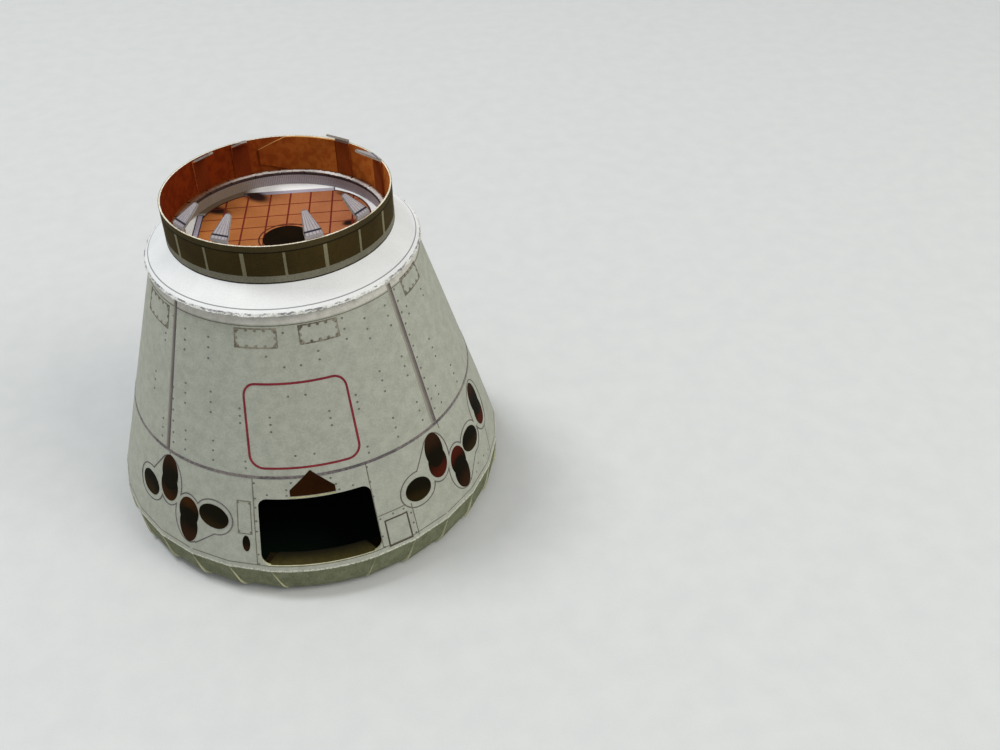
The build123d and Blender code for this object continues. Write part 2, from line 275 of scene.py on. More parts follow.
# %% Finish of the body's card
UNPRINTED_FROM_Z = 35.32
BAY_BOTTOM_Z = 4.9
WALL_INSIDE_R = 25.75
look = Finish("printed_grey_card", roughness=0.82, relief=0.65, fibre_scale=4200.0, cloud_scale=800.0)
outside = look.mottle((155, 157, 145), (173, 175, 162))
# Below the crease the band is painted a darker olive: painted shade, as the folded band faces down
band = look.mottle((92, 96, 72), (118, 121, 96))
outside = fade(look, look.z, CREASE_Z + 0.02, CREASE_Z - 0.1, outside, band)
bare = look.mottle((184, 181, 172), (204, 201, 192))
outside = fade(look, look.z, UNPRINTED_FROM_Z, UNPRINTED_FROM_Z + 0.12, outside, bare)
# Towards the top the grey turns darker in patches
dark_patches = ramp(look, look.noise(520.0, Detail=4.0, Roughness=0.6), 0.5, 0.72)
near_top = times(look, dark_patches, ramp(look, look.z, 32.5, 36.0), 0.25)
outside = blend(look, near_top, outside, srgb(120, 112, 100))

# Worn along the crease, where the card was bent
near_crease = ramp(look, off(look, look.z, CREASE_Z + 0.05), 0.22, 0.03)
worn = times(look, near_crease, ramp(look, look.fibre, 0.4, 0.6), 0.75)
outside = blend(look, worn, outside, srgb(226, 224, 206))

# The glue flap in the bay shows its brown side upwards
radius = away_from_axis(look)[1]
at_flap = ramp(look, off(look, look.z, BAY_BOTTOM_Z), 0.02, 0.01)
inside_wall = ramp(look, radius, WALL_INSIDE_R + 0.03, WALL_INSIDE_R - 0.03)
on_flap = times(look, at_flap, inside_wall, ramp(look, facing(look, UP), 0.8, 0.9))
flap = look.mottle((52, 46, 16), (68, 60, 24))
# Towards its inner end the flap is painted near black: painted shade deep inside the body
flap = fade(look, radius, 23.4, 25.4, srgb(26, 22, 8), flap)
edge = blend(look, on_flap, look.mottle((176, 176, 142), (208, 206, 174)), flap)

side = body_side(look)
seen = fade(look, side, 0.45, 0.55, edge, outside)
seen = fade(look, side, -0.45, -0.55, seen, look.mottle((44, 34, 16), (60, 46, 24)))


def dress(name, material):
    """Gives a CAD node its material."""
    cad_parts[name].data.materials.clear()
    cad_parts[name].data.materials.append(material)


dress("body_wrap", look.colour(seen))
dress("joining_strip", ink("plain_card", (150, 138, 108), (172, 160, 128), roughness=0.8, gloss=0.2))
print("body dressed")

# %% [markdown]
# ## White nose ring
# The ring is plain white card. It was cut with scissors, so its outline is made of short snips, and white
# fibres stand out from its edge. It is spun as a section, its edge is pulled about a little, and it gets
# its thickness last.

# %% Helpers for modelling
def leave_edit():
    """Closes edit mode, if it is open."""
    if bpy.context.mode != "OBJECT":
        bpy.ops.object.mode_set(mode="OBJECT")


def edit(piece, kind="VERT"):
    """Opens a piece in edit mode, with nothing else chosen."""
    leave_edit()
    bpy.ops.object.select_all(action="DESELECT")
    piece.select_set(True)
    bpy.context.view_layer.objects.active = piece
    bpy.ops.object.mode_set(mode="EDIT")
    bpy.ops.mesh.select_mode(type=kind)


def choose(piece, kind, test):
    """In edit mode: chooses only the vertices, edges or faces that pass the test."""
    bpy.ops.mesh.select_mode(type=kind)
    bpy.ops.mesh.select_all(action="DESELECT")
    leave_edit()
    mesh = piece.data
    for part in {"VERT": mesh.vertices, "EDGE": mesh.edges, "FACE": mesh.polygons}[kind]:
        part.select = test(part)
    bpy.ops.object.mode_set(mode="EDIT")


def resize(x, y, z=1):
    """In edit mode: stretches what is chosen, away from the origin."""
    bpy.ops.transform.resize(value=(x, y, z), center_override=(0, 0, 0))


def apply(piece, kind, **settings):
    """Adds a modifier, sets it and applies it."""
    leave_edit()
    modifier = piece.modifiers.new(kind.lower(), kind)
    for name, value in settings.items():
        setattr(modifier, name, value)
    bpy.context.view_layer.objects.active = piece
    bpy.ops.object.modifier_apply(modifier=modifier.name)


def combine(piece, tool, operation, keep_tool=False):
    """Joins a piece with a tool, or cuts it with the tool."""
    apply(piece, "BOOLEAN", operation=operation, object=tool, solver="EXACT")
    if not keep_tool:
        bpy.data.objects.remove(tool)
    return piece


def gather(pieces):
    """Joins several pieces into one, as they are."""
    bpy.ops.object.select_all(action="DESELECT")
    for piece in pieces:
        piece.select_set(True)
    bpy.context.view_layer.objects.active = pieces[0]
    bpy.ops.object.join()
    return bpy.context.object


def settle(piece, name, material, slot, *replaced):
    """Names a finished piece, gives it its finish, and fixes it to the model."""
    leave_edit()
    piece.name = name
    piece.data.name = name
    piece.data.materials.clear()
    piece.data.materials.append(material)
    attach(piece, "root")
    if replaced:
        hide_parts(*replaced)
    print(name, len(piece.data.polygons), "faces")


# %% Nose ring
THIN_CARD = 0.25
# Radius and height of each point of the section, from its inner edge out
NOSE_SECTION = (
    (12.85, 39.0), (13.9, 39.0), (15.2, 38.12), (16.3, 37.375), (16.62, 37.155), (16.86, 36.98),
    (17.02, 36.84), (17.1, 36.7),
)
NOSE_STEPS = 416
NOSE_SNIPS = 34
FRAYED_FROM = 16.55
SNIP_DEPTH, FRAY, LUMP = 0.09, (-0.05, 0.04), 0.045

bpy.ops.mesh.primitive_circle_add(vertices=NOSE_STEPS, radius=NOSE_SECTION[0][0] * MM)
nose = bpy.context.object
edit(nose, "EDGE")
bpy.ops.transform.translate(value=(0, 0, NOSE_SECTION[0][1] * MM))
for (radius, height), (next_radius, next_height) in zip(NOSE_SECTION, NOSE_SECTION[1:]):
    bpy.ops.mesh.extrude_edges_move(TRANSFORM_OT_translate={"value": (0, 0, (next_height - height) * MM)})
    share = next_radius / radius
    resize(share, share)
leave_edit()
chance = Random(7)
snip_depth = [chance.uniform(0, SNIP_DEPTH) for _ in range(NOSE_SNIPS + 1)]
fray = [chance.uniform(*FRAY) for _ in range(NOSE_STEPS)]
lump = [chance.uniform(-LUMP, LUMP) for _ in range(NOSE_STEPS)]
for vertex in nose.data.vertices:
    radius = hypot(vertex.co.x, vertex.co.y) / MM
    if radius < FRAYED_FROM:
        continue
    share = (radius - FRAYED_FROM) / (NOSE_SECTION[-1][0] - FRAYED_FROM)
    turn = atan2(vertex.co.y, vertex.co.x) / (2 * pi) % 1
    snip, part = divmod(turn * NOSE_SNIPS, 1)
    flat = (1 - cos(2 * pi / NOSE_SNIPS * (0.5 - abs(part - 0.5)))) * radius
    next_depth = snip_depth[int(snip + 1) % NOSE_SNIPS]
    depth = snip_depth[int(snip)] * (1 - part) + next_depth * part
    step = round(turn * NOSE_STEPS) % NOSE_STEPS
    new_radius = radius + (fray[step] - flat - depth) * share
    vertex.co.x *= new_radius / radius
    vertex.co.y *= new_radius / radius
    vertex.co.z += (lump[step] + lump[step - 3] + lump[step - 7]) * share * MM
edit(nose)
bpy.ops.mesh.select_all(action="SELECT")
bpy.ops.mesh.normals_make_consistent(inside=False)
apply(nose, "SOLIDIFY", thickness=THIN_CARD * MM, offset=-1)
bpy.ops.object.shade_smooth_by_angle(angle=radians(30))

# %% Finish of the white card
PRINTED_CIRCLE_R = 16.44
BROKEN_LINE_R = 16.9
look = Finish("white_card", roughness=0.75, relief=0.3)
radius = away_from_axis(look)[1]
frayed = look.mottle((176, 176, 166), (240, 240, 238))
white = fade(look, radius, 16.7, 17.05, look.mottle((226, 227, 228), (236, 237, 237)), frayed)
circle = times(look, thin_line(look, radius, PRINTED_CIRCLE_R, 0.07), 0.75)
white = blend(look, circle, white, srgb(84, 84, 88))
patchy = ramp(look, look.noise(900.0, Detail=5.0, Roughness=0.75), 0.44, 0.56)
broken = times(look, thin_line(look, radius, BROKEN_LINE_R, 0.09), patchy, 0.8)
white = blend(look, broken, white, srgb(84, 80, 90))
settle(nose, "nose_card", look.colour(white), "white_card", "nose_ring")

# %% [markdown]
# ## Collar, well and tabs
# The collar is dark brown outside and orange-brown inside, darker at the left. Its cut rim shows the card's
# white core, and the flaps at its foot are torn. The well's wall is grey with fine hatching, and the disc
# at its bottom is white. These nodes keep their CAD shapes, so their materials go by the place and the
# direction of a surface.

# %% Finishes of the collar
LIP_FROM_Z = 43.0
FLAP_FOOT_Z = 39.35
CORE_R = 13.76
look = Finish("collar_card", gloss=0.06)
level, radius = away_from_axis(look)
ragged = times(look, calc(look, "SUBTRACT", look.fibre, 0.5), 0.9)
streaky = ramp(look, look.noise(900.0, Detail=3.0, Distortion=0.6), 0.38, 0.62)
left_back = blend(look, streaky, srgb(104, 35, 6), srgb(122, 45, 10))
right_back = blend(look, streaky, srgb(170, 90, 32), srgb(190, 112, 46))
back = fade(look, look.x, -9, 13, left_back, right_back)

# Outside, a dark line and a lighter lip run below the rim
wall = look.mottle((48, 38, 16), (64, 52, 24))
dark = look.mottle((20, 16, 8), (34, 28, 14))
lip = look.mottle((56, 48, 28), (72, 62, 38))
outer = fade(look, look.z, LIP_FROM_Z, LIP_FROM_Z + 0.04, wall, dark)
outer = fade(look, look.z, LIP_FROM_Z + 0.14, LIP_FROM_Z + 0.24, outer, lip)
sides = fade(look, facing(look, level), -0.3, 0.3, back, outer)
under_flaps = ramp(look, look.z, FLAP_FOOT_Z, FLAP_FOOT_Z - 0.05)
under_flaps = times(look, under_flaps, ramp(look, radius, 13.0, 12.9))
sides = blend(look, under_flaps, sides, look.mottle((60, 44, 44), (84, 66, 64)))

# The cut rim shows the card's white core as a thin line between its two coloured faces
cream = look.mottle((192, 184, 160), (238, 234, 218))
on_core = thin_line(look, calc(look, "ADD", radius, times(look, ragged, 0.35)), CORE_R, 0.11)
rim = fade(look, radius, CORE_R - 0.02, CORE_R + 0.02, back, outer)
rim = blend(look, on_core, rim, cream)
tongue_edge = look.mottle((176, 128, 66), (206, 164, 100))
rim = fade(look, radius, 13.6, 13.56, rim, tongue_edge)

# The flaps at its foot are torn and whitish towards the well, and stay brown at the left
to_left = ramp(look, look.x, -1, -9)
torn = ramp(look, calc(look, "ADD", radius, ragged), 13.3, 13.1)
torn = times(look, torn, calc(look, "SUBTRACT", 1.0, times(look, to_left, 0.85)))
whitish = look.mottle((160, 152, 142), (236, 232, 228))
flap = blend(look, torn, look.mottle((98, 50, 22), (134, 78, 44)), whitish)
tops = fade(look, look.z, 41, 42, flap, rim)
look.colour(fade(look, facing(look, UP), 0.4, 0.6, sides, tops))
dress("collar", look.material)
dress("collar_tongue", look.material)

# %% Finishes of the well and of the hatch's disc
HATCH_LINES = 330.0
FLAP_SHADOW_Z = 38.82
look = Finish("well_card", roughness=0.75)
hatching = calc(look, "SINE", times(look, calc(look, "ARCTAN2", look.y, look.x), HATCH_LINES))
plain = look.mottle((150, 140, 146), (168, 158, 164))
# Towards the left the wall is painted brownish: painted shade, with the warm light the brown collar throws
# there
shaded_brownish = look.mottle((134, 118, 100), (152, 136, 118))
plain = fade(look, look.x, -1, -6, plain, shaded_brownish)
grey = blend(look, times(look, ramp(look, hatching, 0.0, 0.9), 0.8), plain, srgb(122, 112, 114))
# The dark line at the wall's top is the flaps' painted shadow
in_flap_shadow = ramp(look, look.z, FLAP_SHADOW_Z, FLAP_SHADOW_Z + 0.04)
dress("well_wall", look.colour(blend(look, in_flap_shadow, grey, srgb(52, 44, 48))))

# The disc is white, but brown beside the print at the left back
look = Finish("hatch_white", roughness=0.75)
brown_left_back = times(look, ramp(look, look.x, -2.5, -5.0), ramp(look, look.y, 5.0, 7.0))
left_back_brown = look.mottle((92, 74, 56), (108, 90, 72))
white = look.mottle((236, 236, 236), (246, 246, 246))
dress("hatch_disc", look.colour(blend(look, brown_left_back, white, left_back_brown)))

# %% Finish of the tabs' backs and edges
RIM_Z = 43.85
look = Finish("tab_card", gloss=0.08)
outward = facing(look, away_from_axis(look)[0])
upward = facing(look, UP)
at_left = ramp(look, look.x, 0.0, -3.0)
left_backs = look.mottle((98, 35, 8), (116, 46, 13))
backs = blend(look, at_left, look.mottle((118, 50, 13), (136, 64, 20)), left_backs)
# At the left the straps' cut sides are painted lighter: painted light that cancels the shade on them
painted_light_left_sides = look.mottle((206, 116, 60), (228, 138, 78))
sides = blend(look, at_left, look.mottle((150, 76, 34), (172, 94, 46)), painted_light_left_sides)
backs = fade(look, calc(look, "ABSOLUTE", outward), 0.6, 0.4, backs, sides)

# Over the rim a tab shows its grey side and its pale cut edges, but for its underside
cuts = look.mottle((128, 120, 112), (172, 166, 158))
grey_side = look.mottle((142, 136, 138), (166, 160, 162))
above = fade(look, calc(look, "ADD", outward, upward), 0.5, 0.8, cuts, grey_side)
below = ramp(look, upward, -0.1, -0.3)
shown = times(look, ramp(look, look.z, RIM_Z, RIM_Z + 0.1), calc(look, "SUBTRACT", 1.0, below))
look.colour(blend(look, shown, backs, above))
for number in range(1, 9):
    dress(f"guide_tab_{number}", look.material)
print("collar, well and tabs dressed")

# %% [markdown]
# ## The print
# On the real model the marks are ink. Here each one is a film of ink a few hundredths of a millimetre
# thick, so it stays sharp from any distance. A mark is drawn flat in millimetres about its own middle, gets
# its thickness, and is then wrapped round the cone, the way the sheet itself was rolled.

# %% Wrap a flat mark round the body
INK = 0.036
FRONT = radians(-90)
# The front tooth keeps the round fold; the others fold on straight lines, with a facet above each
FRONT_HALF = radians(14.5)
TEETH = 27
TOOTH = (2 * pi - 2 * FRONT_HALF) / TEETH
FOLD_R = CREASE_R * cos(TOOTH / 2)
FACET_RISE = 7.0
FACET_SLOPE = (FOLD_R - CREASE_R) / FACET_RISE + tan(HALF_ANGLE)


def cone_radius(height):
    """Outer radius of the cone at a height, in millimetres."""
    return CREASE_R - (height - CREASE_Z) * tan(HALF_ANGLE)


def card_radius(azimuth, height):
    """Distance from the axis to the card: the round cone, or a flat facet above a straight fold."""
    turn = (azimuth - FRONT - FRONT_HALF) % (2 * pi)
    if turn > TEETH * TOOTH:
        return cone_radius(height)
    from_middle = turn % TOOTH - TOOTH / 2
    return min(cone_radius(height), (FOLD_R - (height - CREASE_Z) * FACET_SLOPE) / cos(from_middle))


def wrap(piece, azimuth, height):
    """Lays a flat piece on the body: x runs round it, y runs up it and z stands out from it."""
    for vertex in piece.data.vertices:
        across, up, out = vertex.co
        turn = radians(azimuth) + across / cone_radius(height)
        radius = card_radius(turn, height + up) + out * cos(HALF_ANGLE)
        vertex.co = Vector((radius * cos(turn), radius * sin(turn), height + up + out * sin(HALF_ANGLE))) * MM
    return piece


# %% Draw flat marks
LAYER_STEP = 0.014


def thicken(piece, layer=0):
    """Turns a flat mark into a film; a higher layer stands over a lower one."""
    apply(piece, "SOLIDIFY", thickness=INK + LAYER_STEP * layer, offset=0)
    return piece


def disc(half_width, half_height, sides=24, rings=0, tilt=0.0, layer=0):
    """A round or oval mark, with rings of edges inside it where it has to bend."""
    bpy.ops.mesh.primitive_circle_add(vertices=sides, radius=1, fill_type="NGON")
    piece = bpy.context.object
    edit(piece, "FACE")
    for _ in range(rings):
        bpy.ops.mesh.inset(thickness=0.23)
    bpy.ops.mesh.select_all(action="SELECT")
    resize(half_width, half_height)
    leave_edit()
    piece.data.transform(Matrix.Rotation(radians(tilt), 4, "Z"))
    return thicken(piece, layer)


def bar(width, height, columns=1, rows=1, layer=0):
    """A straight mark, cut into columns and rows where it has to bend."""
    bpy.ops.mesh.primitive_grid_add(x_subdivisions=columns, y_subdivisions=rows, size=1)
    piece = bpy.context.object
    edit(piece)
    resize(width, height)
    return thicken(piece, layer)


def cut_long_edges(piece, longest, cuts):
    """In edit mode: divides the edges that are too long to bend."""
    ends = piece.data.vertices
    choose(piece, "EDGE", lambda e: (ends[e.vertices[0]].co - ends[e.vertices[1]].co).length > longest)
    bpy.ops.mesh.subdivide(number_cuts=cuts)


def frame_mark(width, height, line, corner=0.0, cuts=0, top_left_shift=0.0, segments=7, layer=0):
    """A rectangle drawn as a line, with rounded corners if asked."""
    bpy.ops.mesh.primitive_plane_add(size=1)
    piece = bpy.context.object
    edit(piece)
    resize(width, height)
    if top_left_shift:
        choose(piece, "VERT", lambda v: v.co.x < 0 < v.co.y)
        bpy.ops.transform.translate(value=(top_left_shift, 0, 0))
        bpy.ops.mesh.select_all(action="SELECT")
    if corner:
        bpy.ops.mesh.bevel(offset=corner, segments=segments, affect="VERTICES")
    choose(piece, "FACE", lambda f: True)
    bpy.ops.mesh.inset(thickness=line)
    bpy.ops.mesh.delete(type="FACE")
    if cuts:
        cut_long_edges(piece, max(2 * line + corner, 1.5), cuts)
    return thicken(piece, layer)


def twin(piece):
    """A copy with its own mesh."""
    copy = piece.copy()
    copy.data = piece.data.copy()
    bpy.context.collection.objects.link(copy)
    return copy


print("drawing helpers ready")

# %% [markdown]
# ## Lines round the body
# A grey belt goes round the body at mid height, and thin lines run near its foot and its top.

# %% Belt and thin lines
COARSE = {"roughness": 0.78, "gloss": 0.2, "fibre_scale": 2600.0}
belt_ink = ink("belt_ink", (82, 76, 80), (134, 126, 122), **COARSE)
thin_ink = ink("thin_grey_ink", (92, 88, 78), (124, 120, 106))
# Height and width of each line
BELT, FOOT_LINE, TOP_LINE = (16.8, 0.36), (4.95, 0.1), (35.2, 0.09)
BACK_GAP = 1 / 500


def ring_mark(height, thickness, columns=216, layer=0):
    """A line all the way round the body, open only at the slit at the back."""
    around = 2 * pi * cone_radius(height) * (1 - BACK_GAP)
    return wrap(bar(around, thickness, columns, 1, layer), -90, height)


settle(ring_mark(*BELT, layer=2), "belt_line", belt_ink, "body_card")
thin_lines = [ring_mark(*FOOT_LINE), ring_mark(*TOP_LINE)]
settle(gather(thin_lines), "thin_lines", thin_ink, "body_card")

# %% [markdown]
# ## Red outline and the dark roof over the bay
# A rounded red line marks the side door, and a small dark roof shape stands on the bay's upper edge.

# %% Red outline
DOOR = {"width": 12.75, "height": 10.7, "line": 0.27, "corner": 1.7, "top_left_shift": -0.45}
DOOR_AT = (-90.9, 23.2)
red_ink = ink("red_ink", (112, 34, 44), (138, 48, 56))
settle(wrap(frame_mark(**DOOR, cuts=12, layer=1), *DOOR_AT), "door_outline", red_ink, "body_card")

# %% Dark roof and the cut edge under it
ROOF_HALF, ROOF_RISE, ROOF_FOOT = 2.75, 2.4, 0.8
ROOF_AT, CUT_LINE_AT = (-90.2, 14.75), (-90.2, 14.18)
CUT_LINE = (5.6, 0.15)
roof_ink = ink("roof_ink", (28, 13, 2), (48, 22, 4), gloss=0.03)
bpy.ops.mesh.primitive_grid_add(x_subdivisions=8, y_subdivisions=2, size=1)
roof = bpy.context.object
edit(roof)
resize(2 * ROOF_HALF, ROOF_FOOT)
leave_edit()
for vertex in roof.data.vertices:
    if vertex.co.y > ROOF_FOOT / 4:
        vertex.co.y += ROOF_RISE * (1 - abs(vertex.co.x) / ROOF_HALF)
thicken(roof, 3)
settle(wrap(roof, *ROOF_AT), "bay_roof", roof_ink, "body_card")
cream_ink = ink("cut_cream", (130, 126, 84), (196, 192, 144))
settle(wrap(bar(*CUT_LINE, 8, 1, 3), *CUT_LINE_AT), "bay_cut_line", cream_ink, "body_card")

# %% [markdown]
# ## Rivets
# Rows of small grey dots, three by three, stand for rivets. One dot is drawn, and each place gets its own
# copy. The unseen back carries the same rows, turned half round.

# %% Rivet rows
# Azimuth of each row, and the heights of its rivets
RIVET_ROWS = (
    (-151.0, (25.5, 24.4, 23.2)), (-146.0, (31.3, 30.4)), (-144.0, (20.4, 19.2, 18.0)),
    (-134.4, (33.25, 31.9, 30.7)), (-133.2, (26.65, 25.4, 24.1)), (-132.5, (20.6, 19.4, 18.1)),
    (-123.0, (33.25, 32.0, 30.7)), (-122.1, (26.7, 25.4, 24.15)), (-121.3, (20.6, 19.35, 18.1)),
    (-111.2, (25.3, 24.4, 23.5)), (-110.1, (18.7, 17.85)), (-100.9, (24.4, 23.5, 22.6)), (-100.2, (31.7,)),
    (-94.0, (30.35, 26.85, 19.5)), (-93.0, (34.35,)), (-88.0, (30.4, 26.85, 19.5)),
    (-81.0, (31.7, 30.7, 24.4, 23.5, 22.6)), (-71.0, (25.4, 24.5, 23.6, 18.7, 17.9)),
    (-69.5, (34.7, 33.4, 32.2)), (-60.4, (33.7, 32.4, 31.2)), (-60.2, (27.0, 25.8, 24.4)),
    (-60.0, (20.8, 19.5, 18.25)), (-49.8, (33.9, 32.6, 31.35)), (-49.5, (27.2, 25.9, 24.65)),
    (-49.2, (20.9, 19.7, 18.35)), (-39.0, (32.1, 31.1)), (-38.6, (20.85, 19.6, 18.4)),
    (-33.0, (26.4, 25.15, 23.9)), (-26.0, (32.1, 31.2, 20.8, 19.5, 18.2)),
)
# Beside the left joint the row leans a little; beside the right one it is upright
LEFT_SEAM_HEIGHTS = (34, 32.5, 31.2, 29.6, 28.1, 26.7, 25.3, 23.8, 22.4, 21, 19.5, 18.2)
SEAM_RIVETS = tuple((-141.6 + 3.9 * (34 - z) / 17, (z,)) for z in LEFT_SEAM_HEIGHTS)
SEAM_RIVETS += ((-42.6, (34.9, 33.4, 31.9, 30.4, 28.9, 27.4, 25.8, 24.3, 22.9, 21.3, 19.9, 18.5)),)
BAY_RIVETS = (
    (-107.8, (16.0, 14.0, 12.8, 11.0, 9.6, 6.4, 5.1)), (-72.7, (16.2, 14.2, 12.2)), (-104.0, (14.55,)),
    (-98.1, (14.45,)), (-96.4, (16.1,)), (-98.0, (15.2,)), (-83.0, (15.2,)), (-84.3, (16.1,)),
    (-82.3, (14.4,)), (-78.0, (14.5,)), (-72.1, (8.95,)), (-68.0, (9.0,)), (-64.5, (9.0,)),
    (-62.5, (8.0, 6.55, 5.1)), (-72.5, (6.55, 5.0)), (-33.7, (5.8,)), (-31.4, (6.5,)), (-27.4, (6.35,)),
    (-23.1, (5.75,)),
)
RIVET = (0.15, 0.13)
rivet_ink = ink("rivet_ink", (92, 94, 88), (118, 120, 110))
shape = disc(*RIVET, sides=8)
dots = []
for rows, turns in ((RIVET_ROWS + SEAM_RIVETS, (0, 180)), (BAY_RIVETS, (0,))):
    for azimuth, heights in rows:
        for height in heights:
            for turned in turns:
                dots.append(wrap(twin(shape), azimuth + turned, height))
bpy.data.objects.remove(shape)
settle(gather(dots), "rivets", rivet_ink, "body_card")

# %% [markdown]
# ## Dotted plates
# Small rectangles near the top are drawn as a line with dots in it.

# %% Dotted plates
# Azimuth and height of the middle, width in degrees and height of each plate
PLATES = (
    (-103.65, 33.78, 16.7, 2.35), (-79.4, 33.9, 15.6, 2.3), (-30.2, 34.35, 14.8, 2.3),
    (-153.5, 33.45, 17.9, 2.9),
)
# Each dot's share of the width, the long side that it follows if any, and its share of the height
DOT_SHARES = [(across, side, 0.0) for across in (-0.42, -0.21, 0.0, 0.21, 0.42) for side in (-1, 1)]
DOT_SHARES += [(across, 0, up) for across in (-0.46, 0.46) for up in (-0.3, 0.0, 0.3)]
DOT_FROM_EDGE = 0.25
PLATE_LINE, PLATE_DOT = 0.15, (0.2, 0.18)


def box_mark(azimuth, height, wide, tall, line, cuts, layer=0):
    """A rectangle drawn as a line on the body; its width is given in degrees."""
    box = frame_mark(radians(wide) * cone_radius(height), tall, line, cuts=cuts, layer=layer)
    return wrap(box, azimuth, height)


plates = []
dot = disc(*PLATE_DOT, sides=8, layer=1)
for azimuth, height, wide, tall in PLATES:
    for turned in (0, 180):
        plates.append(box_mark(azimuth + turned, height, wide, tall, PLATE_LINE, 8))
        for across, side, up in DOT_SHARES:
            rise = side * (tall / 2 - DOT_FROM_EDGE) + up * tall
            plates.append(wrap(twin(dot), azimuth + turned + across * wide, height + rise))
bpy.data.objects.remove(dot)
plate_ink = ink("plate_ink", (80, 74, 64), (148, 142, 126), **COARSE)
settle(gather(plates), "dotted_plates", plate_ink, "body_card")

# %% [markdown]
# ## Marks beside the bay
# Thin lines frame the bay. At its left is a dotted box, at its right a square in a frame. One more line
# slants down to the crease from the last port at the right.

# %% Marks beside the bay
LINE = 0.11
# Azimuth and height of the middle, length and number of cuts of each upright line
BAY_LINES = ((-108.3, 10.8, 11.8, 8), (-72.9, 10.8, 11.8, 8), (-61.7, 6.9, 4.6, 4))
# Azimuth and height of the middle, width in degrees and height of the dotted box and of the square
LEFT_BOX, SQUARE = (-111.4, 11.3, 4.4, 4.5), (-67.35, 6.6, 7.5, 3.8)
BOX_DOT, BOX_DOT_AZIMUTHS, BOX_DOT_HEIGHTS = (0.16, 0.14), (-113.2, -109.6), (9.35, 13.25)
SQUARE_LINE = 0.2
LEVEL_AT, LEVEL_WIDE = (-68.25, 9.4), 8.5
SLANT_AT, SLANT_LENGTH, SLANT_LEAN = (-20.4, 6.7), 4.25, -19.7

marks = [wrap(bar(LINE, tall, 1, rows), azimuth, height) for azimuth, height, tall, rows in BAY_LINES]
marks.append(box_mark(*LEFT_BOX, LINE, 4))
marks.append(wrap(bar(radians(LEVEL_WIDE) * cone_radius(LEVEL_AT[1]), LINE, 6, 1), *LEVEL_AT))
slanting = bar(LINE, SLANT_LENGTH, 1, 8)
slanting.data.transform(Matrix.Rotation(radians(SLANT_LEAN), 4, "Z"))
marks.append(wrap(slanting, *SLANT_AT))
box_dot = disc(*BOX_DOT, sides=8, layer=1)
marks += [wrap(twin(box_dot), azimuth, height) for azimuth in BOX_DOT_AZIMUTHS for height in BOX_DOT_HEIGHTS]
bpy.data.objects.remove(box_dot)
settle(gather(marks), "bay_marks", thin_ink, "body_card")
dark_line_ink = ink("dark_line_ink", (70, 64, 56), (92, 84, 72))
settle(box_mark(*SQUARE, SQUARE_LINE, 4, 1), "side_square", dark_line_ink, "body_card")

# %% [markdown]
# ## Thruster ports
# Each side carries a row of dark ovals: a wide one, two tall doubles of a dark and a red-brown oval, and a
# wide one again. A thin line follows the whole row. It is made by joining a larger oval round each port
# into one shape, cutting that flat, and keeping only a narrow line along its outline. A small dark oval
# stands alone at the bay's left.

# %% Ports
PORT_MIDDLE_Z = 10.8
# Across and up from the row's start, half width, half height, tilt, and whether it is red-brown
PORTS = (
    (0.0, 10.4, 1.95, 1.55, -8, False),
    (4.0, 12.0, 1.62, 2.05, 0, True), (4.0, 13.85, 1.52, 2.37, 0, False),
    (7.6, 9.9, 1.58, 1.98, 0, True), (7.62, 8.1, 1.48, 2.3, 0, False),
    (11.4, 10.55, 2.12, 1.58, -7, False),
)
EXTRA_PORTS = ((16.3, 11.4, 1.58, 2.0, 0, True), (16.3, 13.4, 1.5, 2.4, 0, False))
# Place and half sizes of each larger oval that the thin line follows, and corners of the fillets between
SURROUNDS = (
    (0.0, 10.45, 2.8, 2.4), (4.0, 12.75, 2.4, 3.45), (7.6, 9.05, 2.3, 3.42), (11.4, 10.45, 2.75, 2.42),
)
EXTRA_SURROUNDS = ((16.4, 12.35, 2.8, 3.75),)
FILLETS = (
    ((0.2, 12.6), (2.7, 15.7), (4.0, 12.8), (1.0, 10.5)),
    ((11.6, 8.1), (8.7, 5.85), (7.4, 9.0), (11.0, 10.0)),
)
# Azimuth of each row's start, and whether it has the extra ports
ROWS = ((-148.4, False), (-58.0, True), (31.6, False), (122.0, True))
SMALL_OVAL, SMALL_OVAL_AT = (0.5, 1.1), (-111.2, 7.75)
# The ovals shade between these colours; the rows at the right are redder
DARK, OLIVE, DULL, BROWN, RED_BROWN = (18, 15, 5), (42, 31, 9), (50, 28, 14), (60, 32, 6), (76, 24, 11)


def port_ink(name, foot, top):
    """An ink that shades from one colour at an oval's foot to another at its top."""
    look = Finish(name, roughness=0.72, gloss=0.04)
    streak = calc(look, "ADD", look.uv()[1], times(look, calc(look, "SUBTRACT", look.cloud, 0.5), 0.5))
    shade = fade(look, streak, 0.1, 0.62, srgb(*foot), srgb(*top))
    return look.colour(blend(look, times(look, look.fibre, 0.35), shade, srgb(*DARK)))


dark_ink = ink("hole_ink", (12, 7, 2), (26, 15, 4), gloss=0.03)
PORT_INKS = {
    "wide_ports": port_ink("port_olive_ink", OLIVE, DARK),
    "dark_ports": port_ink("port_dark_ink", DULL, DARK),
    "brown_ports": port_ink("port_brown_ink", BROWN, DARK),
    "red_ports": port_ink("port_red_ink", RED_BROWN, DARK),
}


def place_in_row(piece, start, across, height):
    """Wraps a mark that is drawn about its own middle at a place in a row of ports."""
    return wrap(piece, start + degrees(across / cone_radius(PORT_MIDDLE_Z)), height)


